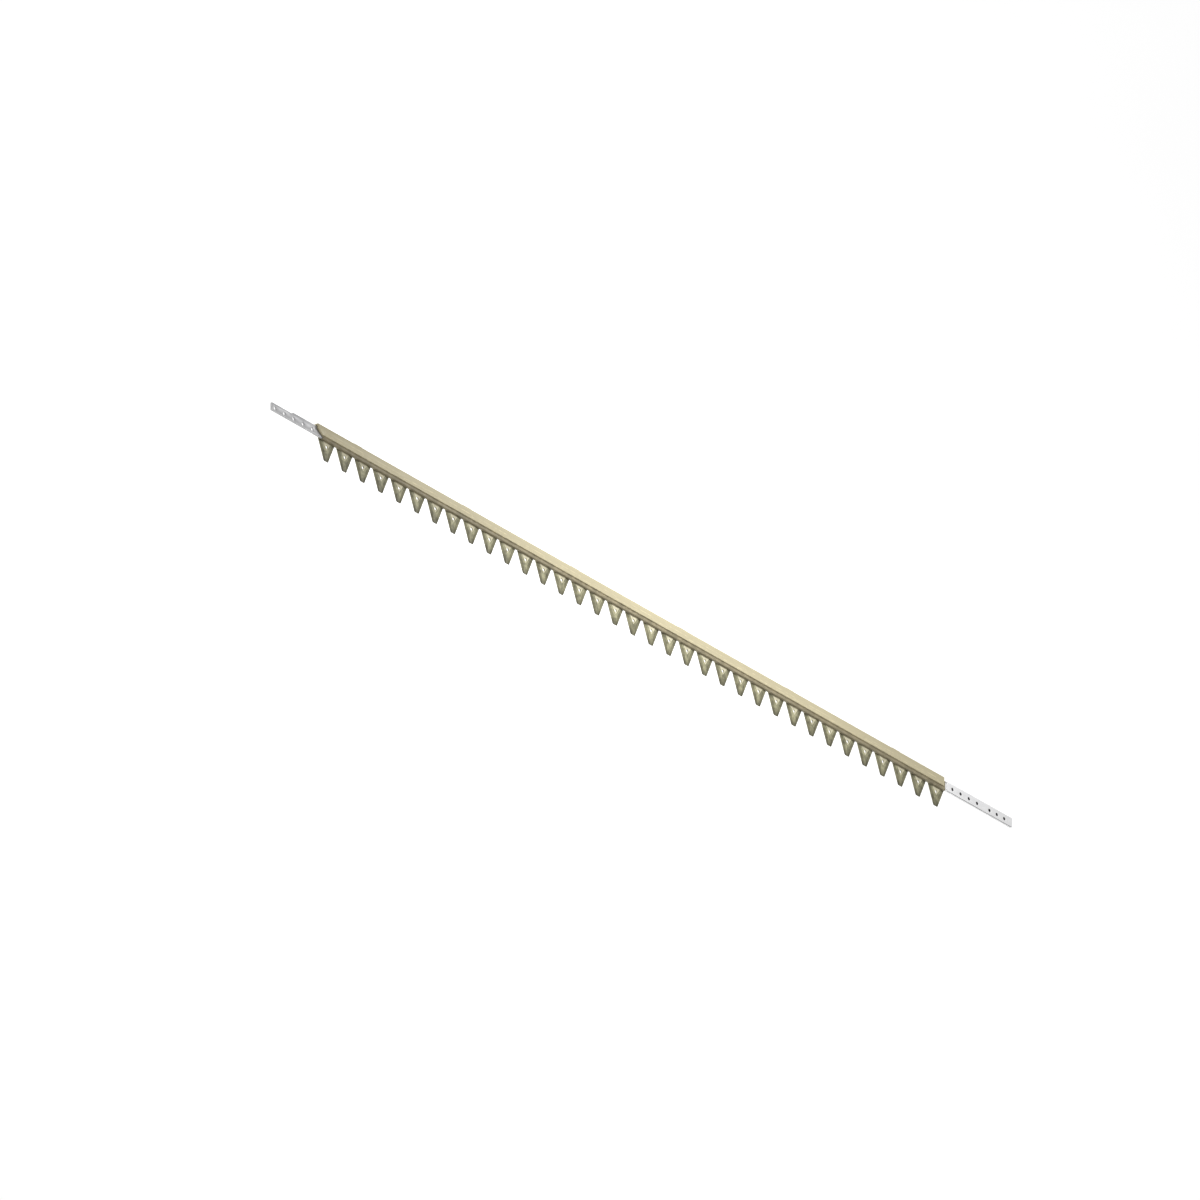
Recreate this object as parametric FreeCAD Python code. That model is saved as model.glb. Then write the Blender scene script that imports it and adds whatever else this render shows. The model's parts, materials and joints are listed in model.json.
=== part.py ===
import FreeCAD, Part
import math
import os

from FreeCAD import Vector

# A reciprocating sickle knife in its guide.
# The knife is a flat back bar with triangular sections riveted under it. It slides to and fro inside a
# steel channel, which carries a hold-down strip, two plastic wear liners and lugs to bolt it down by.
# +X runs along the knife towards its drive end, the sections point along -Y, and +Z is up. The origin
# is under the middle of the knife back, halfway across the whole depth, on the plane the guide rests on.
# "Depth" below is the distance in front of the channel's rear face, so a larger depth is a smaller Y.

# ---- Driving dimensions, in millimetres ----

PITCH = 76.2                # one section, the 3 inch sickle standard
SECTION_COUNT = 35
STROKE = PITCH              # the knife travels one pitch
INWARD_TRAVEL = 8.0         # of the stroke, left towards the free end from where the knife is drawn
RUNNING_GAP = 0.3           # clearance on every side of the knife

KNIFE_LENGTH = 3144.0
ROW_CENTRE_X = -40.0        # the middle section, measured from the middle of the knife back

SECTION_HEIGHT = 79.4       # the 3 1/8 inch standard, from rear edge to tip
SECTION_THICKNESS = 3.0
SECTION_SIDE_GAP = 0.4      # between neighbouring sections
SECTION_TAPER_START = 16.3  # straight sides end this far from the rear edge
SECTION_TIP_WIDTH = 18.0
SECTION_REAR_CHAMFER = 2.5
SECTION_TIP_CHAMFER = 2.0
SECTION_HOLE_RADIUS = 4.0
SECTION_HOLE_DEPTH = 45.9   # depth of the centre hole
TIP_DEPTH = 86.1

BEVEL_START_DEPTH = 33.2    # the ground bevels run from here to the tip
FLAT_APEX_DEPTH = 56.3      # the flat left between the bevels comes to a point here
FLAT_SLOPE = 14.5 / 19.1    # half-width the flat gains per millimetre back from its apex
TIP_EDGE_THICKNESS = 0.6    # what the bevels leave at the corners of the tip

BACK_WIDTH = 25.4
BACK_THICKNESS = 5.0
BACK_REAR_DEPTH = 6.4
BACK_RELIEF = 4.0           # the free end is this much narrower, taken off its rear edge
BACK_RELIEF_LENGTH = 89.0
BACK_RELIEF_RADIUS = 3.0
DRIVE_HOLE_DEPTH = 20.3     # the line of holes and strap rivets at the drive end
FREE_END_HOLE_DEPTH = 22.3  # the line of holes at the free end

RIVET_RADIUS = 3.175        # 1/4 inch section rivets, flush on both sides
RIVET_HEAD_RADIUS = 4.6
RIVET_HEAD_HEIGHT = 1.4
RIVET_SPACING = 50.8        # the 2 inch standard between a section's two rivets

FREE_END_HOLE_RADIUS = 5.5
FREE_END_HOLES = 5
FREE_END_FIRST = 14.0       # from the end of the bar
FREE_END_PITCH = 39.0

DRIVE_HOLE_RADIUS = 4.5
DRIVE_OUTER_FIRST = 34.0    # from the drive end of the bar
DRIVE_OUTER_PITCH = 31.75
DRIVE_OUTER_HOLES = 3
DRIVE_INNER_FIRST = 151.0
DRIVE_INNER_PITCH = 35.5
DRIVE_INNER_HOLES = 4

STRAP_THICKNESS = 3.0       # the doubler strap riveted on the drive end
STRAP_WIDTH = 25.4
STRAP_REAR_DEPTH = 6.4
STRAP_CLEARANCE = 1.9       # left between strap and hold-down strip when the knife is fully in
STRAP_RIVETS = (17.0, 124.5, 204.5)
STRAP_RIVET_RADIUS = 3.0
STRAP_RIVET_HEAD_RADIUS = 4.2
STRAP_RIVET_HEAD_HEIGHT = 1.2

GUIDE_LENGTH = 2660.0
GUIDE_CENTRE_X = -55.0
WALL = 4.0                  # channel wall
TOP_FLANGE = 25.8
BOTTOM_FLANGE = 26.0
OUTER_RADIUS = 3.0
INNER_RADIUS = 1.0
MITRE_START_DEPTH = 14.3    # the free end of the cover is cut off on a slant
MITRE_END_DEPTH = 29.5
MITRE_LENGTH = 25.0

STRIP_THICKNESS = 2.5
STRIP_REAR_DEPTH = 9.0
STRIP_FRONT_DEPTH = 34.6
STRIP_BEND_RADIUS = 2.0
STRIP_OVERHANG = 9.0        # the strip sticks out this far beyond the channel at the drive end

BOTTOM_LINER_THICKNESS = 1.0
BOTTOM_LINER_REAR_DEPTH = 5.2
REAR_LINER_THICKNESS = 2.1
LINER_INSET = 12.0          # the liners stop this far inside each end of the channel

COVER_RIVET_COUNT = 18
COVER_RIVET_PITCH = 2.0 * PITCH
COVER_RIVET_DEPTH = 17.0
COVER_RIVET_RADIUS = 2.5
COVER_RIVET_HEAD_RADIUS = 4.5
COVER_RIVET_HEAD_HEIGHT = 1.5

LUG_COUNT = 6
LUG_PITCH = 6.0 * PITCH
LUG_LENGTH = 40.0
LUG_DEPTH = 12.0
LUG_THICKNESS = 4.0
LUG_CORNER_RADIUS = 5.0
LUG_HOLE_RADIUS = 3.3
LUG_HOLE_DEPTH = -6.2

# ---- Levels and places worked out from them ----

Z_LINER_TOP = WALL + BOTTOM_LINER_THICKNESS
Z_SECTION = Z_LINER_TOP + RUNNING_GAP
Z_BACK = Z_SECTION + SECTION_THICKNESS
Z_BACK_TOP = Z_BACK + BACK_THICKNESS
Z_STRIP = Z_BACK_TOP + RUNNING_GAP
Z_COVER = Z_STRIP + STRIP_THICKNESS
Z_TOP = Z_COVER + WALL

REAR_Y = (TIP_DEPTH - LUG_DEPTH) / 2.0
KNIFE_LEFT = -KNIFE_LENGTH / 2.0
KNIFE_RIGHT = KNIFE_LENGTH / 2.0
GUIDE_LEFT = GUIDE_CENTRE_X - GUIDE_LENGTH / 2.0
GUIDE_RIGHT = GUIDE_CENTRE_X + GUIDE_LENGTH / 2.0
STRAP_LEFT = GUIDE_RIGHT + STRIP_OVERHANG + INWARD_TRAVEL + STRAP_CLEARANCE
SECTION_REAR_DEPTH = TIP_DEPTH - SECTION_HEIGHT
BACK_FRONT_DEPTH = BACK_REAR_DEPTH + BACK_WIDTH
RIVET_LINE_DEPTH = BACK_REAR_DEPTH + BACK_WIDTH / 2.0


def y_at(depth):
    return REAR_Y - depth


def row_places(centre, pitch, count):
    """X of count equally spaced places, centred on centre."""
    return [centre + (i - (count - 1) / 2.0) * pitch for i in range(count)]


def plate(outline, bottom, top):
    """A flat plate: outline is a list of (x, depth), extruded from bottom to top."""
    points = [Vector(x, y_at(depth), bottom) for x, depth in outline]
    wire = Part.makePolygon(points + points[:1])
    return Part.Face(wire).extrude(Vector(0, 0, top - bottom))


def bar(section, left, right):
    """A straight bar along X: section is a list of (depth, z)."""
    points = [Vector(left, y_at(depth), z) for depth, z in section]
    wire = Part.makePolygon(points + points[:1])
    return Part.Face(wire).extrude(Vector(right - left, 0, 0))


def rectangle(left, right, rear, front):
    return [(left, rear), (right, rear), (right, front), (left, front)]


def round_edges(solid, places, radius, direction):
    """Fillet the edges that run along direction (0 is X, 2 is Z) through the given places."""
    chosen = []
    for edge in solid.Edges:
        ends = [vertex.Point for vertex in edge.Vertexes]
        if len(ends) != 2 or abs(abs(ends[1][direction] - ends[0][direction]) - edge.Length) > 1e-4:
            continue
        others = [axis for axis in range(3) if axis != direction]
        for place in places:
            if all(abs(ends[0][axis] - value) < 1e-4 for axis, value in zip(others, place)):
                chosen.append(edge)
    return solid.makeFillet(radius, chosen)


def pin(x, depth, bottom, top, radius):
    return Part.makeCylinder(radius, top - bottom, Vector(x, y_at(depth), bottom))


def flush_rivet(x, depth, bottom, top, radius, head_radius, head_height):
    """A rivet with a countersunk head at both ends, flush with bottom and top."""
    shank = pin(x, depth, bottom, top, radius)
    lower = Part.makeCone(head_radius, radius, head_height, Vector(x, y_at(depth), bottom))
    upper = Part.makeCone(radius, head_radius, head_height, Vector(x, y_at(depth), top - head_height))
    return shank.fuse([lower, upper]).removeSplitter()


def cut_all(solid, tools):
    return solid.cut(tools).removeSplitter()


def save(name, shape):
    shape.exportStep("parts/" + name + ".step")


# ---- Rivets, made first because they cut their own holes ----

def section_rivets(centre):
    """The two rivets that hold one section under the knife back."""
    return [
        flush_rivet(x, RIVET_LINE_DEPTH, Z_SECTION, Z_BACK_TOP, RIVET_RADIUS, RIVET_HEAD_RADIUS,
                    RIVET_HEAD_HEIGHT)
        for x in row_places(centre, RIVET_SPACING, 2)
    ]


def strap_rivets():
    return [
        flush_rivet(KNIFE_RIGHT - distance, DRIVE_HOLE_DEPTH, Z_BACK, Z_BACK_TOP + STRAP_THICKNESS,
                    STRAP_RIVET_RADIUS, STRAP_RIVET_HEAD_RADIUS, STRAP_RIVET_HEAD_HEIGHT)
        for distance in STRAP_RIVETS
    ]


def cover_rivets():
    return [
        flush_rivet(x, COVER_RIVET_DEPTH, Z_STRIP, Z_TOP, COVER_RIVET_RADIUS, COVER_RIVET_HEAD_RADIUS,
                    COVER_RIVET_HEAD_HEIGHT)
        for x in row_places(GUIDE_CENTRE_X, COVER_RIVET_PITCH, COVER_RIVET_COUNT)
    ]


# ---- Knife ----

def section_outline():
    """Half the outline is listed; the other half mirrors it about the section's centre line."""
    side = (PITCH - SECTION_SIDE_GAP) / 2.0
    tip = SECTION_TIP_WIDTH / 2.0
    rear = SECTION_REAR_DEPTH
    taper = rear + SECTION_TAPER_START
    slant = (side - tip) / (TIP_DEPTH - taper)
    half = [
        (side - SECTION_REAR_CHAMFER, rear),
        (side, rear + SECTION_REAR_CHAMFER),
        (side, taper),
        (tip + slant * SECTION_TIP_CHAMFER, TIP_DEPTH - SECTION_TIP_CHAMFER),
        (tip - SECTION_TIP_CHAMFER, TIP_DEPTH),
    ]
    return half + [(-x, depth) for x, depth in reversed(half)]


def bevel_cutter(side):
    """What grinding takes off one side: all that lies above a plane that falls away from the flat.

    The plane meets the top face along the flat's edge and reaches TIP_EDGE_THICKNESS at the tip's
    corner. side is 1 or -1.
    """
    top = Z_SECTION + SECTION_THICKNESS
    length = math.hypot(1.0, FLAT_SLOPE)
    across = Vector(side / length, -FLAT_SLOPE / length, 0)
    corner = Vector(side * SECTION_TIP_WIDTH / 2.0, y_at(TIP_DEPTH), 0)
    apex = Vector(0, y_at(FLAT_APEX_DEPTH), 0)
    fall = (SECTION_THICKNESS - TIP_EDGE_THICKNESS) / (corner - apex).dot(across)
    reach = PITCH
    along = Vector(side * FLAT_SLOPE / length, 1.0 / length, 0)
    start = Vector(0, y_at(FLAT_APEX_DEPTH), top) - along * reach
    profile = [start, start + across * reach + Vector(0, 0, -fall * reach), start + across * reach]
    wedge = Part.Face(Part.makePolygon(profile + profile[:1])).extrude(along * (2.0 * reach))
    ground = rectangle(min(0, side * PITCH), max(0, side * PITCH), BEVEL_START_DEPTH, TIP_DEPTH + 1.0)
    return wedge.common(plate(ground, Z_SECTION, top + 1.0))


def knife_section():
    """One section, centred on X = 0."""
    blank = plate(section_outline(), Z_SECTION, Z_SECTION + SECTION_THICKNESS)
    hole = pin(0, SECTION_HOLE_DEPTH, Z_SECTION, Z_BACK, SECTION_HOLE_RADIUS)
    return cut_all(blank, [bevel_cutter(1), bevel_cutter(-1), hole] + section_rivets(0))


def drive_holes(bottom, top):
    outer = [DRIVE_OUTER_FIRST + i * DRIVE_OUTER_PITCH for i in range(DRIVE_OUTER_HOLES)]
    inner = [DRIVE_INNER_FIRST + i * DRIVE_INNER_PITCH for i in range(DRIVE_INNER_HOLES)]
    return [pin(KNIFE_RIGHT - d, DRIVE_HOLE_DEPTH, bottom, top, DRIVE_HOLE_RADIUS) for d in outer + inner]


def free_end_holes(bottom, top):
    distances = [FREE_END_FIRST + i * FREE_END_PITCH for i in range(FREE_END_HOLES)]
    return [pin(KNIFE_LEFT + d, FREE_END_HOLE_DEPTH, bottom, top, FREE_END_HOLE_RADIUS) for d in distances]


def knife_back(rivets):
    step = KNIFE_LEFT + BACK_RELIEF_LENGTH
    outline = [
        (KNIFE_LEFT, BACK_REAR_DEPTH + BACK_RELIEF),
        (step, BACK_REAR_DEPTH + BACK_RELIEF),
        (step, BACK_REAR_DEPTH),
        (KNIFE_RIGHT, BACK_REAR_DEPTH),
        (KNIFE_RIGHT, BACK_FRONT_DEPTH),
        (KNIFE_LEFT, BACK_FRONT_DEPTH),
    ]
    flat = plate(outline, Z_BACK, Z_BACK_TOP)
    flat = round_edges(flat, [(step, y_at(BACK_REAR_DEPTH + BACK_RELIEF))], BACK_RELIEF_RADIUS, 2)
    holes = drive_holes(Z_BACK, Z_BACK_TOP) + free_end_holes(Z_BACK, Z_BACK_TOP)
    return cut_all(flat, rivets + holes)


def drive_strap(rivets):
    outline = rectangle(STRAP_LEFT, KNIFE_RIGHT, STRAP_REAR_DEPTH, STRAP_REAR_DEPTH + STRAP_WIDTH)
    top = Z_BACK_TOP + STRAP_THICKNESS
    return cut_all(plate(outline, Z_BACK_TOP, top), rivets + drive_holes(Z_BACK_TOP, top))


# ---- Guide ----

def mitre_cutter(bottom, top):
    """The slanted corner missing from the cover and the strip at the free end."""
    left = GUIDE_LEFT - 1.0
    slope = (MITRE_END_DEPTH - MITRE_START_DEPTH) / MITRE_LENGTH
    outline = [
        (left, MITRE_START_DEPTH - slope),
        (GUIDE_LEFT + MITRE_LENGTH, MITRE_END_DEPTH),
        (GUIDE_LEFT + MITRE_LENGTH, STRIP_FRONT_DEPTH + 1.0),
        (left, STRIP_FRONT_DEPTH + 1.0),
    ]
    return plate(outline, bottom, top)


def guide_channel(rivets):
    section = [
        (0, 0),
        (BOTTOM_FLANGE, 0),
        (BOTTOM_FLANGE, WALL),
        (WALL, WALL),
        (WALL, Z_COVER),
        (TOP_FLANGE, Z_COVER),
        (TOP_FLANGE, Z_TOP),
        (0, Z_TOP),
    ]
    channel = bar(section, GUIDE_LEFT, GUIDE_RIGHT)
    channel = round_edges(channel, [(y_at(0), 0), (y_at(0), Z_TOP)], OUTER_RADIUS, 0)
    channel = round_edges(channel, [(y_at(WALL), WALL), (y_at(WALL), Z_COVER)], INNER_RADIUS, 0)
    return cut_all(channel, [mitre_cutter(Z_STRIP, Z_TOP + 1.0)] + rivets)


def hold_down_strip(rivets):
    lip_bottom = Z_BACK + RUNNING_GAP
    lip_rear = STRIP_FRONT_DEPTH - STRIP_THICKNESS
    section = [
        (STRIP_REAR_DEPTH, Z_STRIP),
        (lip_rear, Z_STRIP),
        (lip_rear, lip_bottom),
        (STRIP_FRONT_DEPTH, lip_bottom),
        (STRIP_FRONT_DEPTH, Z_COVER),
        (STRIP_REAR_DEPTH, Z_COVER),
    ]
    strip = bar(section, GUIDE_LEFT, GUIDE_RIGHT + STRIP_OVERHANG)
    strip = round_edges(strip, [(y_at(STRIP_FRONT_DEPTH), Z_COVER)], STRIP_BEND_RADIUS, 0)
    return cut_all(strip, [mitre_cutter(lip_bottom - 1.0, Z_TOP)] + rivets)


def bottom_liner():
    outline = rectangle(GUIDE_LEFT + LINER_INSET, GUIDE_RIGHT - LINER_INSET, BOTTOM_LINER_REAR_DEPTH,
                        BOTTOM_FLANGE)
    return plate(outline, WALL, Z_LINER_TOP)


def rear_liner():
    outline = rectangle(GUIDE_LEFT + LINER_INSET, GUIDE_RIGHT - LINER_INSET, WALL,
                        WALL + REAR_LINER_THICKNESS)
    return plate(outline, WALL + INNER_RADIUS + 0.2, Z_STRIP)


def mount_lug(x):
    half = LUG_LENGTH / 2.0
    lug = plate(rectangle(x - half, x + half, -LUG_DEPTH, 0), 0, LUG_THICKNESS)
    corners = [(x - half, y_at(-LUG_DEPTH)), (x + half, y_at(-LUG_DEPTH))]
    lug = round_edges(lug, corners, LUG_CORNER_RADIUS, 2)
    return lug.cut(pin(x, LUG_HOLE_DEPTH, 0, LUG_THICKNESS, LUG_HOLE_RADIUS))


# ---- Build and save every piece ----

os.makedirs("parts", exist_ok=True)

section_centres = row_places(ROW_CENTRE_X, PITCH, SECTION_COUNT)
all_section_rivets = [rivet for centre in section_centres for rivet in section_rivets(centre)]
all_strap_rivets = strap_rivets()
all_cover_rivets = cover_rivets()

save("knife_back", knife_back(all_section_rivets + all_strap_rivets))
save("drive_strap", drive_strap(all_strap_rivets))
save("section_rivets", Part.makeCompound(all_section_rivets))
save("strap_rivets", Part.makeCompound(all_strap_rivets))

one_section = knife_section()
for number, centre in enumerate(section_centres, start=1):
    copy = one_section.copy()
    copy.translate(Vector(centre, 0, 0))
    save("section_%02d" % number, copy)

save("guide_channel", guide_channel(all_cover_rivets))
save("hold_down_strip", hold_down_strip(all_cover_rivets))
save("cover_rivets", Part.makeCompound(all_cover_rivets))
save("bottom_liner", bottom_liner())
save("rear_liner", rear_liner())
for number, x in enumerate(row_places(GUIDE_CENTRE_X, LUG_PITCH, LUG_COUNT), start=1):
    save("mount_lug_%d" % number, mount_lug(x))
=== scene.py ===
import bmesh
import bpy
import json
import math
from mathutils import Matrix, Vector


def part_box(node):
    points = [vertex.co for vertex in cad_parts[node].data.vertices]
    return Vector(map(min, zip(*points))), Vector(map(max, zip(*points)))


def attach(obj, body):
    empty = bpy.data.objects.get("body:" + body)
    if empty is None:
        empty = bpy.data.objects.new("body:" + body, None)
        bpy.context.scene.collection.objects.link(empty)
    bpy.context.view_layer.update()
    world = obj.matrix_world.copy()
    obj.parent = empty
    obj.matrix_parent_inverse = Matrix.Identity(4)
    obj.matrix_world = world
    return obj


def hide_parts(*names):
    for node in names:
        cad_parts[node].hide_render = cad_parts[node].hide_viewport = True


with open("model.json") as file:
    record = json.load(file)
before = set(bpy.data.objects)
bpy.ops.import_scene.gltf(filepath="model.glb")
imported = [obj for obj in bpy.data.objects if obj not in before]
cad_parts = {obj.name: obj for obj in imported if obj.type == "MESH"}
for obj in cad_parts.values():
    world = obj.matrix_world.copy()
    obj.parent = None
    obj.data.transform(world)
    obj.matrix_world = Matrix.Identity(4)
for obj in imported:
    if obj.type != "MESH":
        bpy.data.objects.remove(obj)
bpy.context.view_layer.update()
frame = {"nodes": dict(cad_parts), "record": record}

# A sickle knife in its guide. +X runs along the knife, the sections point along -Y, +Z is up.
# Lengths are in metres; MM turns the small ones, named in millimetres, into metres.

MM = 0.001
SECTIONS = sorted(name for name in frame["nodes"] if name.startswith("section_") and name[8:].isdigit())
LUGS = sorted(name for name in frame["nodes"] if name.startswith("mount_lug_"))
NOISE_ROUGHNESS = 0.55


# ---- Node helpers ----

def new_material(name):
    material = bpy.data.materials.new(name)
    material.use_nodes = True
    tree = material.node_tree
    return material, tree, tree.nodes["Principled BSDF"]


def noise(tree, scale, detail, stretch=(1.0, 1.0, 1.0)):
    """Noise in the object's own space, in features per metre."""
    coords = tree.nodes.new("ShaderNodeTexCoord")
    mapping = tree.nodes.new("ShaderNodeMapping")
    mapping.inputs["Scale"].default_value = stretch
    texture = tree.nodes.new("ShaderNodeTexNoise")
    texture.inputs["Scale"].default_value = scale
    texture.inputs["Detail"].default_value = detail
    texture.inputs["Roughness"].default_value = NOISE_ROUGHNESS
    tree.links.new(coords.outputs["Object"], mapping.inputs["Vector"])
    tree.links.new(mapping.outputs["Vector"], texture.inputs["Vector"])
    return texture.outputs["Fac"]


def ramp(tree, value, stops):
    """A colour ramp: stops is a list of (position, colour)."""
    node = tree.nodes.new("ShaderNodeValToRGB")
    elements = node.color_ramp.elements
    while len(elements) < len(stops):
        elements.new(0.5)
    for element, (position, colour) in zip(elements, stops):
        element.position = position
        element.color = (*colour, 1.0)
    tree.links.new(value, node.inputs["Fac"])
    return node.outputs["Color"]


def number_ramp(tree, value, low, high, low_at=0.3, high_at=0.7):
    node = tree.nodes.new("ShaderNodeMapRange")
    node.inputs["From Min"].default_value = low_at
    node.inputs["From Max"].default_value = high_at
    node.inputs["To Min"].default_value = low
    node.inputs["To Max"].default_value = high
    tree.links.new(value, node.inputs["Value"])
    return node.outputs["Result"]


def mix(tree, factor, first, second):
    node = tree.nodes.new("ShaderNodeMix")
    node.data_type = "RGBA"
    tree.links.new(factor, node.inputs["Factor"])
    for socket, value in ((node.inputs["A"], first), (node.inputs["B"], second)):
        if isinstance(value, tuple):
            socket.default_value = (*value, 1.0)
        else:
            tree.links.new(value, socket)
    return node.outputs["Result"]


def bump(tree, shader, height, strength, distance):
    node = tree.nodes.new("ShaderNodeBump")
    node.inputs["Strength"].default_value = strength
    node.inputs["Distance"].default_value = distance
    tree.links.new(height, node.inputs["Height"])
    tree.links.new(node.outputs["Normal"], shader.inputs["Normal"])


def edge_wear(tree, amount_from, amount_to):
    """1 on sharp convex edges and 0 elsewhere, broken up by noise."""
    geometry = tree.nodes.new("ShaderNodeNewGeometry")
    edges = number_ramp(tree, geometry.outputs["Pointiness"], 0.0, 1.0, amount_from, amount_to)
    patches = number_ramp(tree, noise(tree, 60.0, 4.0), 0.0, 1.0, 0.42, 0.62)
    node = tree.nodes.new("ShaderNodeMath")
    node.operation = "MULTIPLY"
    tree.links.new(edges, node.inputs[0])
    tree.links.new(patches, node.inputs[1])
    node.use_clamp = True
    return node.outputs["Value"]


# ---- Materials ----

LIT_WHITE_FROM, LIT_WHITE_TO = 1.0, 1.2         # along X, where painted light turns the knife back from grey to near white towards the drive end
TIP_SHADE_FROM, TIP_SHADE_TO = -0.028, -0.050     # along Y, where painted shade darkens the sections towards their tips


def paint(name, pale, deep, roughness):
    """Sprayed enamel on steel: soft colour drift, fine orange peel and worn edges."""
    material, tree, shader = new_material(name)
    drift = noise(tree, 6.0, 5.0, (0.35, 2.0, 2.0))
    colour = ramp(tree, drift, [(0.32, deep), (0.68, pale)])
    specks = number_ramp(tree, noise(tree, 420.0, 2.0), 0.0, 0.35, 0.60, 0.72)
    colour = mix(tree, specks, colour, tuple(0.72 * c for c in deep))
    worn = tuple(min(1.0, 1.25 * c) for c in pale)
    colour = mix(tree, edge_wear(tree, 0.53, 0.60), colour, worn)
    tree.links.new(colour, shader.inputs["Base Color"])
    tree.links.new(number_ramp(tree, noise(tree, 25.0, 4.0), roughness - 0.06, roughness + 0.08),
                   shader.inputs["Roughness"])
    shader.inputs["Specular IOR Level"].default_value = 0.18
    shader.inputs["Coat Weight"].default_value = 0.03
    shader.inputs["Coat Roughness"].default_value = 0.35
    bump(tree, shader, noise(tree, 900.0, 2.0), 0.15, 0.0002)
    return material


def along(tree, axis, start, end):
    """0 up to start on the object's axis, changing evenly to 1 at end."""
    coords = tree.nodes.new("ShaderNodeTexCoord")
    split = tree.nodes.new("ShaderNodeSeparateXYZ")
    tree.links.new(coords.outputs["Object"], split.inputs["Vector"])
    return number_ramp(tree, split.outputs[axis], 0.0, 1.0, start, end)


def zinc(name, pale, deep, metal, roughness, lit_drive_end=None):
    """Zinc plate or passivated steel: rolled streaks along the bar and cloudy patches, and, if a drive-end
    colour is given, painted light that pales the bar towards the drive end.
    """
    material, tree, shader = new_material(name)
    clouds = ramp(tree, noise(tree, 35.0, 6.0, (0.5, 1.0, 1.0)), [(0.35, deep), (0.65, pale)])
    if lit_drive_end:
        clouds = mix(tree, along(tree, "X", LIT_WHITE_FROM, LIT_WHITE_TO), clouds, lit_drive_end)
    streaks = number_ramp(tree, noise(tree, 900.0, 3.0, (0.03, 1.0, 1.0)), 0.0, 0.30, 0.5, 0.75)
    colour = mix(tree, streaks, clouds, tuple(0.75 * c for c in deep))
    tree.links.new(colour, shader.inputs["Base Color"])
    shader.inputs["Metallic"].default_value = metal
    tree.links.new(number_ramp(tree, noise(tree, 60.0, 4.0), roughness - 0.08, roughness + 0.1),
                   shader.inputs["Roughness"])
    bump(tree, shader, noise(tree, 1500.0, 3.0, (0.05, 1.0, 1.0)), 0.2, 0.0001)
    return material


def lacquered_steel(name, pale, deep, metal, roughness, grain):
    """Hardened section steel: lacquer over ground metal, mottled, with grinding marks."""
    material, tree, shader = new_material(name)
    mottle = ramp(tree, noise(tree, 75.0, 6.0), [(0.36, deep), (0.64, pale)])
    marks = number_ramp(tree, noise(tree, 1400.0, 2.0, grain), 0.0, 0.45, 0.50, 0.72)
    colour = mix(tree, marks, mottle, tuple(0.62 * c for c in deep))
    # Painted shade: the sections' colour darkens towards their tips.
    colour = mix(tree, along(tree, "Y", TIP_SHADE_FROM, TIP_SHADE_TO), colour, tuple(0.6 * c for c in deep))
    bright = tuple(min(1.0, 1.7 * c) for c in pale)
    colour = mix(tree, edge_wear(tree, 0.55, 0.66), colour, bright)
    tree.links.new(colour, shader.inputs["Base Color"])
    shader.inputs["Metallic"].default_value = metal
    shader.inputs["Specular IOR Level"].default_value = 0.2
    tree.links.new(number_ramp(tree, noise(tree, 240.0, 4.0), roughness - 0.08, roughness + 0.1),
                   shader.inputs["Roughness"])
    bump(tree, shader, noise(tree, 2200.0, 2.0, grain), 0.25, 0.0001)
    return material


def plastic(name, pale, deep):
    material, tree, shader = new_material(name)
    colour = ramp(tree, noise(tree, 40.0, 5.0, (0.3, 1.0, 1.0)), [(0.35, deep), (0.65, pale)])
    tree.links.new(colour, shader.inputs["Base Color"])
    tree.links.new(number_ramp(tree, noise(tree, 90.0, 3.0), 0.42, 0.6), shader.inputs["Roughness"])
    bump(tree, shader, noise(tree, 1200.0, 2.0), 0.1, 0.0001)
    return material


KHAKI = paint("khaki_enamel", (0.62, 0.555, 0.365), (0.545, 0.49, 0.325), 0.42)
# The hold-down strip is given a much darker colour than the cover.
DARKER_STRIP = paint("darker_strip_paint", (0.29, 0.252, 0.166), (0.23, 0.203, 0.134), 0.5)
# The flat, bevel and serration are one lacquered steel in three tones. The darker bevel and serration tones
# are partly the ground steel's own colour and partly painted shade of their slopes and fine grooves, and the
# serration tone also covers the sections' side walls.
FLAT = lacquered_steel("ground_flat", (0.78, 0.73, 0.535), (0.59, 0.55, 0.39), 0.0, 0.5, (0.06, 1.0, 1.0))
BEVEL = lacquered_steel("bevel_tone_and_shade", (0.46, 0.44, 0.275), (0.205, 0.195, 0.125), 0.05, 0.5,
                        (1.0, 0.15, 1.0))
SERRATED = lacquered_steel("serration_tone_and_shade", (0.31, 0.295, 0.185), (0.15, 0.142, 0.09), 0.05, 0.5,
                           (1.0, 0.15, 1.0))
UNDERSIDE = lacquered_steel("lacquered_underside", (0.44, 0.42, 0.28), (0.31, 0.29, 0.19), 0.5, 0.5,
                            (0.1, 1.0, 1.0))
# Near-white at the drive end: partly a paler zinc on the drive strap, partly painted light for the brighter
# drive end, into which the grey knife back pales along X.
GREY_ZINC = zinc("grey_zinc", (0.63, 0.63, 0.635), (0.53, 0.53, 0.54), 0.2, 0.5, (0.97, 0.97, 0.97))
PALE_LIT_ZINC = zinc("white_zinc", (0.98, 0.98, 0.98), (0.94, 0.94, 0.95), 0.0, 0.45)
# A darker grey for the drive strap's long side faces.
DARK_STRAP_SIDES = zinc("dark_strap_sides", (0.40, 0.40, 0.41), (0.27, 0.27, 0.28), 0.2, 0.55)
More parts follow.
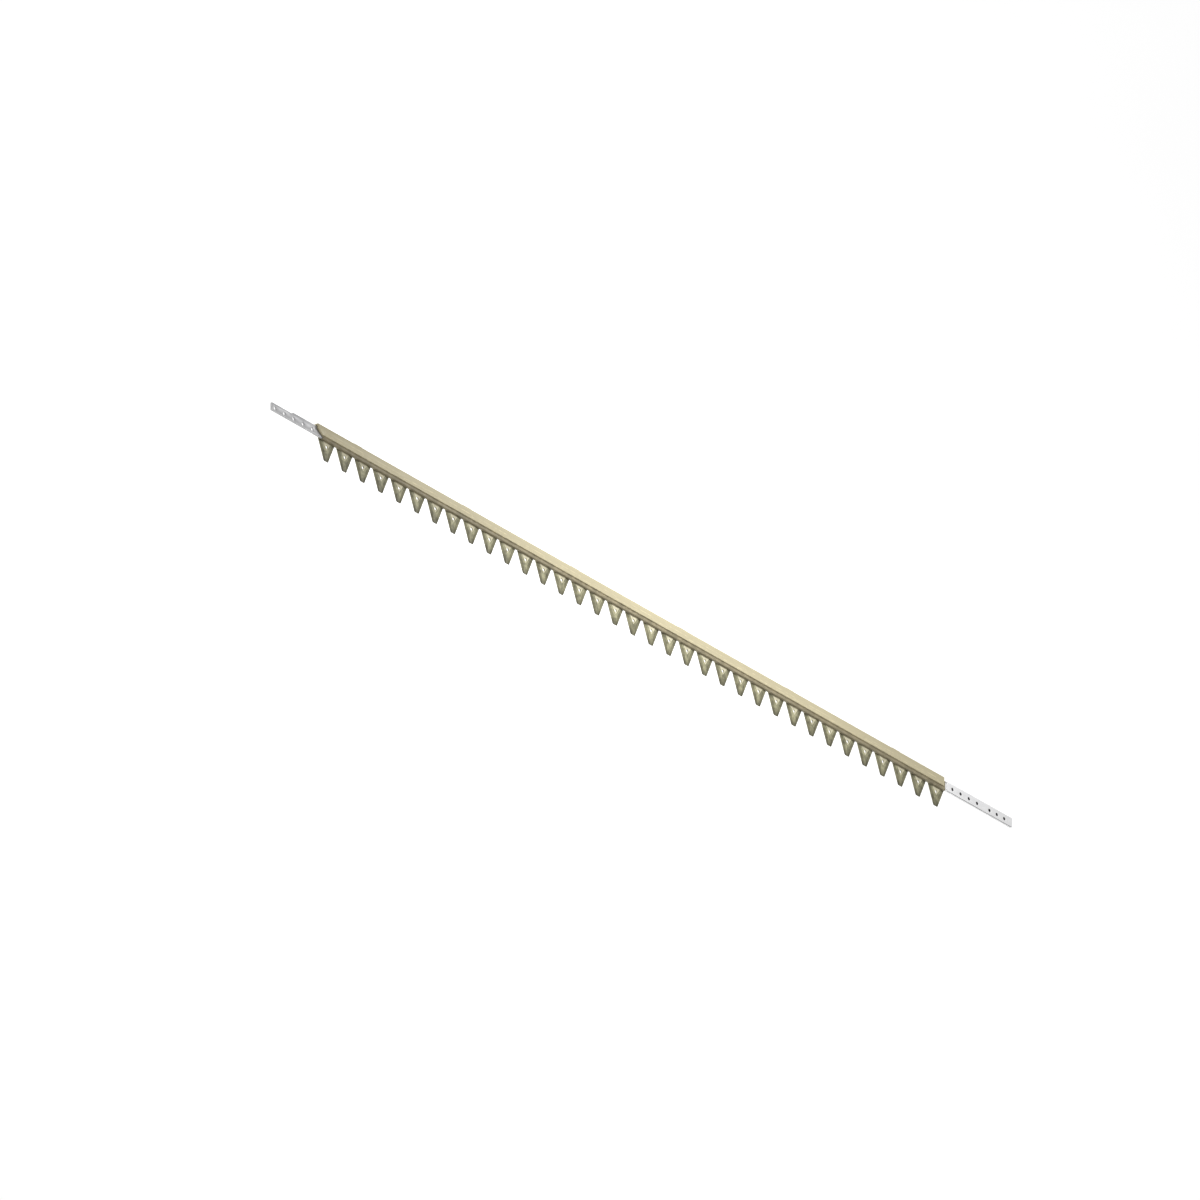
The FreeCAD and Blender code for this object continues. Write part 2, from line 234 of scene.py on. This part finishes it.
# Painted shade: a near-black colour for the walls of the drive end's holes, which are only in shade.
PAINTED_BORE_SHADE = zinc("painted_bore_shade", (0.045, 0.045, 0.048), (0.025, 0.025, 0.027), 0.3, 0.6)
RIVET_STEEL = zinc("rivet_steel", (0.55, 0.54, 0.50), (0.42, 0.41, 0.38), 0.6, 0.4)
LINER_PLASTIC = plastic("liner_plastic", (0.80, 0.80, 0.76), (0.70, 0.70, 0.66))


# ---- Mesh helpers ----

BORE_SHADE_INDEX, DARK_SIDES_INDEX = 1, 2        # material slots of a knife piece, after its own material
BORE_MARGIN = 0.6 * MM
UPRIGHT = 0.9                           # a face whose normal has more than this along an axis faces it
WELD_DISTANCE = 1e-6
COPLANAR_ANGLE = math.radians(0.5)
SHARP_ANGLE = math.radians(35)
SHADING_ANGLE = math.radians(40)


def finish_piece(mesh, name, materials, body, nodes):
    piece = bpy.data.objects.new(name, mesh)
    bpy.context.scene.collection.objects.link(piece)
    if not mesh.materials:
        for material in materials:
            mesh.materials.append(material)
    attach(piece, body)
    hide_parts(*nodes)


def drive_bores():
    """Centre and radius of each hole at the drive end, from the mounts there."""
    bores = []
    for mount in frame["record"]["mounts"]:
        if not mount["name"].startswith("drive_"):
            continue
        x, y, _ = mount["pos_m"]
        half = mount["dims"].get("spacing_x_mm", 0.0) * MM / 2.0
        radius = mount["dims"].get("hole_r_mm", mount["dims"].get("r_mm")) * MM
        bores += [(Vector((x - half, y)), radius), (Vector((x + half, y)), radius)]
    return bores


def mark_upright_faces(shape, dark_sides):
    """Painted shade on the walls of the drive end's holes, and if asked, the darker side colour on the long
    side faces.
    """
    bores = drive_bores()
    for face in shape.faces:
        if abs(face.normal.z) > UPRIGHT:
            continue
        middle = face.calc_center_median().xy
        if any((middle - centre).length < radius + BORE_MARGIN for centre, radius in bores):
            face.material_index = BORE_SHADE_INDEX
        elif dark_sides and abs(face.normal.y) > UPRIGHT:
            face.material_index = DARK_SIDES_INDEX


def edge_broken(node, name, material, body, width):
    """The CAD piece with its sharp edges broken by a small round."""
    mesh = bpy.data.objects[node].data.copy()
    mesh.name = name
    mesh.materials.clear()
    shape = bmesh.new()
    shape.from_mesh(mesh)
    bmesh.ops.remove_doubles(shape, verts=shape.verts, dist=WELD_DISTANCE)
    bmesh.ops.dissolve_limit(shape, angle_limit=COPLANAR_ANGLE, verts=shape.verts, edges=shape.edges)
    sharp = [edge for edge in shape.edges
             if len(edge.link_faces) == 2 and edge.calc_face_angle(0.0) > SHARP_ANGLE]
    bmesh.ops.bevel(shape, geom=sharp, offset=width, segments=2, profile=0.6, affect="EDGES",
                    clamp_overlap=True)
    for face in shape.faces:
        face.smooth = True
    materials = [material]
    if body == "knife":
        shape.normal_update()
        mark_upright_faces(shape, node == "drive_strap")
        materials += [PAINTED_BORE_SHADE, DARK_STRAP_SIDES]
    shape.to_mesh(mesh)
    shape.free()
    mesh.set_sharp_from_angle(angle=SHADING_ANGLE)
    finish_piece(mesh, name, materials, body, [node])


# ---- Knife sections ----

LOW, HIGH = (Vector(corner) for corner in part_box(SECTIONS[0]))
WIDTH = HIGH.x - LOW.x
REAR_Y, TIP_Y = HIGH.y, LOW.y
BOTTOM_Z, TOP_Z = LOW.z, HIGH.z
SIDE = WIDTH / 2.0

TAPER_Y = REAR_Y - 16.3 * MM
TIP_HALF = 9.0 * MM
BEVEL_Y = REAR_Y - 26.5 * MM
APEX_Y = REAR_Y - 49.6 * MM
FLAT_SLOPE = 14.5 / 19.1         # half-width of the flat over its distance from the apex
TIP_EDGE = 0.6 * MM
HOLE_Y = REAR_Y - 39.2 * MM
HOLE_RADIUS = 4.0 * MM
HOLE_CHAMFER = 0.5 * MM
RIVET_Y = REAR_Y - 12.4 * MM
RIVET_X = 25.4 * MM
RIVET_RADIUS = 3.175 * MM
RIVET_HEAD = 4.6 * MM
RIVET_HEAD_HEIGHT = 1.4 * MM
SERRATION_PITCH = 1.7 * MM
SERRATION_DEPTH = 0.34 * MM
SERRATION_NOTCH = 0.35 * MM
BEVEL_COLUMNS = 7
SERRATED_FROM = 0.38            # part of the way out across a bevel where the grooves begin
REAR_CHAMFER = 2.5 * MM
TIP_ROUND = 2.2 * MM
LEAST_EDGE = 0.15 * MM
SERRATION_RUN = 0.2
RING_COUNT = 32
FLAT_INDEX, BEVEL_INDEX, UNDERSIDE_INDEX, SERRATED_INDEX = range(4)


def side_x(y):
    """Half-width of a section at y, along its tapered side."""
    if y > TAPER_Y:
        return SIDE
    return SIDE + (TIP_HALF - SIDE) * (TAPER_Y - y) / (TAPER_Y - TIP_Y)


def flat_x(y):
    """Half-width of the flat between the bevels at y; nothing in front of its apex."""
    return max(0.0, (y - APEX_Y) * FLAT_SLOPE)


def bevel_z(x, y):
    """Height of the ground plane on one side of a section."""
    length = math.hypot(1.0, FLAT_SLOPE)
    across = (abs(x) - (y - APEX_Y) * FLAT_SLOPE) / length
    corner = (TIP_HALF - (TIP_Y - APEX_Y) * FLAT_SLOPE) / length
    fall = (TOP_Z - BOTTOM_Z - TIP_EDGE) / corner
    return TOP_Z - fall * max(0.0, across)


def inner_points(count):
    """Points along the flat's edge and then along the ridge to the middle of the tip."""
    start = Vector((flat_x(BEVEL_Y), BEVEL_Y))
    apex = Vector((0.0, APEX_Y))
    first = (apex - start).length
    total = first + (APEX_Y - TIP_Y)
    points = []
    apex_step = round(count * first / total)
    for step in range(count + 1):
        if step <= apex_step:
            points.append(start.lerp(apex, step / apex_step))
        else:
            y = APEX_Y + (TIP_Y - APEX_Y) * (step - apex_step) / (count - apex_step)
            points.append(Vector((0.0, y)))
    return points


def outer_points(count):
    """Points along the tapered side, rounding into the tip."""
    points = []
    for step in range(count + 1):
        y = BEVEL_Y + (TIP_Y - BEVEL_Y) * step / count
        x = side_x(y)
        rounding = max(0.0, 1.0 - (y - TIP_Y) / TIP_ROUND)
        x -= TIP_ROUND * (1.0 - math.sqrt(max(0.0, 1.0 - rounding * rounding)))
        points.append(Vector((x, y)))
    return points


def add_bevel(shape, side, count):
    """One ground bevel as a grid of rows, with a fine serration near the cutting edge."""
    inner, outer = inner_points(count), outer_points(count)
    rows = []
    for step in range(count + 1):
        groove = 1.0 if step % 2 and 0 < step < count else 0.0
        end = outer[step].copy()
        end.x -= groove * SERRATION_NOTCH
        row = []
        for column in range(BEVEL_COLUMNS + 1):
            part = column / BEVEL_COLUMNS
            point = inner[step].lerp(end, part)
            depth = min(1.0, max(0.0, (part - SERRATED_FROM) / SERRATION_RUN))
            z = bevel_z(point.x, point.y) - groove * depth * SERRATION_DEPTH
            row.append(shape.verts.new((side * point.x, point.y, max(z, BOTTOM_Z + LEAST_EDGE))))
        rows.append(row)
    for first, second in zip(rows, rows[1:]):
        for column in range(BEVEL_COLUMNS):
            corners = [first[column], first[column + 1], second[column + 1], second[column]]
            face = shape.faces.new(corners if side < 0 else corners[::-1])
            face.material_index = SERRATED_INDEX if column / BEVEL_COLUMNS > SERRATED_FROM else BEVEL_INDEX
    return rows


def loop_edges(shape, verts):
    return [shape.edges.get((a, b)) or shape.edges.new((a, b)) for a, b in zip(verts, verts[1:] + verts[:1])]


def ring(shape, centre_x, centre_y, radius, z):
    turns = (2.0 * math.pi * i / RING_COUNT for i in range(RING_COUNT))
    return [shape.verts.new((centre_x + radius * math.cos(t), centre_y + radius * math.sin(t), z))
            for t in turns]


def wall(shape, upper, lower, index):
    """Quads between two rings of the same count."""
    for i in range(len(upper)):
        j = (i + 1) % len(upper)
        shape.faces.new([upper[i], upper[j], lower[j], lower[i]]).material_index = index


def fill(shape, loops, index):
    edges = [edge for verts in loops for edge in loop_edges(shape, verts)]
    made = bmesh.ops.triangle_fill(shape, edges=edges, use_beauty=True, use_dissolve=False)
    for item in made["geom"]:
        if isinstance(item, bmesh.types.BMFace):
            item.material_index = index


def section_mesh():
    """A knife section centred on X = 0: flat, two bevels, sides, underside and three holes."""
    shape = bmesh.new()
    count = 2 * round((BEVEL_Y - TIP_Y) / SERRATION_PITCH)
    right = add_bevel(shape, 1, count)
    left = add_bevel(shape, -1, count)

    # The two bevels share the ridge in front of the flat's apex.
    for from_right, from_left in zip(right, left):
        if from_right[0].co.x == 0.0:
            bmesh.ops.pointmerge(shape, verts=[from_right[0], from_left[0]], merge_co=from_right[0].co)
            kept = from_right[0] if from_right[0].is_valid else from_left[0]
            from_right[0] = from_left[0] = kept

    # The rear of the outline, from the bevel's start on the right round to its start on the left.
    rear_half = [(side_x(BEVEL_Y), BEVEL_Y), (SIDE, TAPER_Y), (SIDE, REAR_Y - REAR_CHAMFER),
                 (SIDE - REAR_CHAMFER, REAR_Y)]
    rear_outline = rear_half + [(-x, y) for x, y in reversed(rear_half)]
    rear_top = [shape.verts.new((x, y, TOP_Z)) for x, y in rear_outline]

    # The small step where each bevel begins.
    for side_row, corner in ((right[0], rear_top[0]), (left[0], rear_top[-1])):
        shape.faces.new([corner] + side_row[::-1]).material_index = BEVEL_INDEX

    # The flat: rear outline, then both slanted edges down to the apex, with its three holes.
    apex_row = next(i for i, row in enumerate(right) if row[0].co.x == 0.0)
    right_slant = [row[0] for row in right[:apex_row + 1]]
    left_slant = [row[0] for row in left[:apex_row]]
    flat_loop = rear_top + left_slant + right_slant[::-1]
    top_rings = [ring(shape, 0.0, HOLE_Y, HOLE_RADIUS + HOLE_CHAMFER, TOP_Z)]
    top_rings += [ring(shape, x, RIVET_Y, RIVET_RADIUS, TOP_Z) for x in (-RIVET_X, RIVET_X)]
    fill(shape, [flat_loop] + top_rings, FLAT_INDEX)

    # The underside has the same outline as the top, seen from above.
    right_side = [row[-1] for row in right]
    left_side = [row[-1] for row in left]
    top_outline = rear_top + left_side + left[-1][-2::-1] + right[-1][1:-1] + right_side[::-1]
    bottom_outline = [shape.verts.new((v.co.x, v.co.y, BOTTOM_Z)) for v in top_outline]
    bottom_rings = [ring(shape, 0.0, HOLE_Y, HOLE_RADIUS + HOLE_CHAMFER, BOTTOM_Z)]
    bottom_rings += [ring(shape, x, RIVET_Y, RIVET_HEAD, BOTTOM_Z) for x in (-RIVET_X, RIVET_X)]
    wall(shape, top_outline, bottom_outline, SERRATED_INDEX)
    fill(shape, [bottom_outline] + bottom_rings, UNDERSIDE_INDEX)

    # The holes' own walls: the centre hole is chamfered at both ends, the rivets' are countersunk.
    upper = ring(shape, 0.0, HOLE_Y, HOLE_RADIUS, TOP_Z - HOLE_CHAMFER)
    lower = ring(shape, 0.0, HOLE_Y, HOLE_RADIUS, BOTTOM_Z + HOLE_CHAMFER)
    for first, second in ((top_rings[0], upper), (upper, lower), (lower, bottom_rings[0])):
        wall(shape, first, second, BEVEL_INDEX)
    for x, top_ring, bottom_ring in zip((-RIVET_X, RIVET_X), top_rings[1:], bottom_rings[1:]):
        neck = ring(shape, x, RIVET_Y, RIVET_RADIUS, BOTTOM_Z + RIVET_HEAD_HEIGHT)
        wall(shape, top_ring, neck, UNDERSIDE_INDEX)
        wall(shape, neck, bottom_ring, UNDERSIDE_INDEX)

    bmesh.ops.remove_doubles(shape, verts=shape.verts, dist=1e-7)
    bmesh.ops.recalc_face_normals(shape, faces=shape.faces)
    mesh = bpy.data.meshes.new("section")
    shape.to_mesh(mesh)
    shape.free()
    return mesh


def make_sections():
    master = section_mesh()
    for material in (FLAT, BEVEL, UNDERSIDE, SERRATED):
        master.materials.append(material)
    for node in SECTIONS:
        low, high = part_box(node)
        mesh = master.copy()
        mesh.transform(Matrix.Translation(((low[0] + high[0]) / 2.0, 0.0, 0.0)))
        finish_piece(mesh, "ground_" + node, [], "knife", [node])


make_sections()
edge_broken("knife_back", "rolled_knife_back", GREY_ZINC, "knife", 0.35 * MM)
edge_broken("drive_strap", "rolled_drive_strap", PALE_LIT_ZINC, "knife", 0.3 * MM)
edge_broken("guide_channel", "folded_channel", KHAKI, "guide", 0.4 * MM)
edge_broken("hold_down_strip", "folded_strip", DARKER_STRIP, "guide", 0.3 * MM)
for lug in LUGS:
    edge_broken(lug, "welded_" + lug, KHAKI, "guide", 0.4 * MM)


# ---- CAD pieces that keep their shape ----

KEPT = {
    "cover_rivets": KHAKI,
    "bottom_liner": LINER_PLASTIC,
    "rear_liner": LINER_PLASTIC,
    "section_rivets": RIVET_STEEL,
    "strap_rivets": PALE_LIT_ZINC,
}
for node, material in KEPT.items():
    for slot in bpy.data.objects[node].material_slots:
        slot.material = material


# ---- Stage, light and camera ----

FLOOR_Z = -0.35
RIGHT = Vector((0.6013, 0.0030, 0.7990)).normalized()
BACK = RIGHT.cross(Vector((-0.3398, 0.9060, 0.2523))).normalized()
UP = BACK.cross(RIGHT)
FRAME_WIDTH = 3.065
SENSOR = 36.0
LENS = 1600.0
AIM_RIGHT = -0.0832
AIM_UP = 0.0895


def make_stage():
    bpy.ops.mesh.primitive_plane_add(size=60.0, location=(0.0, 0.0, FLOOR_Z))
    floor = bpy.context.object
    floor.name = "floor"
    material, tree, shader = new_material("pale_floor")
    colour = ramp(tree, noise(tree, 1.5, 3.0), [(0.3, (0.93, 0.93, 0.93)), (0.7, (0.96, 0.96, 0.96))])
    tree.links.new(colour, shader.inputs["Base Color"])
    shader.inputs["Roughness"].default_value = 0.9
    shader.inputs["Emission Color"].default_value = (1.0, 1.0, 1.0, 1.0)
    shader.inputs["Emission Strength"].default_value = 0.6
    floor.data.materials.append(material)


def area_light(name, place, target, size, power):
    data = bpy.data.lights.new(name, "AREA")
    data.shape = "RECTANGLE"
    data.size, data.size_y = size
    data.energy = power
    light = bpy.data.objects.new(name, data)
    bpy.context.scene.collection.objects.link(light)
    light.location = place
    light.rotation_euler = (Vector(place) - Vector(target)).to_track_quat("Z", "Y").to_euler()


def make_light():
    world = bpy.data.worlds.new("studio")
    world.use_nodes = True
    background = world.node_tree.nodes["Background"]
    background.inputs["Color"].default_value = (1.0, 1.0, 1.0, 1.0)
    background.inputs["Strength"].default_value = 0.40
    bpy.context.scene.world = world
    area_light("key", (0.02, 0.35, 1.35), (0.02, 0.0, 0.0), (0.7, 0.7), 20.5)
    area_light("drive_end_fill", (1.45, 0.15, 0.7), (1.42, 0.02, 0.0), (0.4, 0.4), 0.9)


def make_camera():
    data = bpy.data.cameras.new("camera")
    data.sensor_width = SENSOR
    data.lens = LENS
    distance = FRAME_WIDTH * LENS / SENSOR
    data.clip_start = 1.0
    data.clip_end = 2.0 * distance
    camera = bpy.data.objects.new("camera", data)
    bpy.context.scene.collection.objects.link(camera)
    low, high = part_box("section_18")
    tip = Vector(((low[0] + high[0]) / 2.0, low[1], low[2]))
    centre = tip + RIGHT * AIM_RIGHT + UP * AIM_UP
    camera.matrix_world = Matrix.Translation(centre + BACK * distance) @ Matrix(
        (RIGHT, UP, BACK)).transposed().to_4x4()
    bpy.context.scene.camera = camera


make_stage()
make_light()
make_camera()
bpy.context.scene.view_settings.view_transform = "Standard"
bpy.context.scene.view_settings.look = "None"
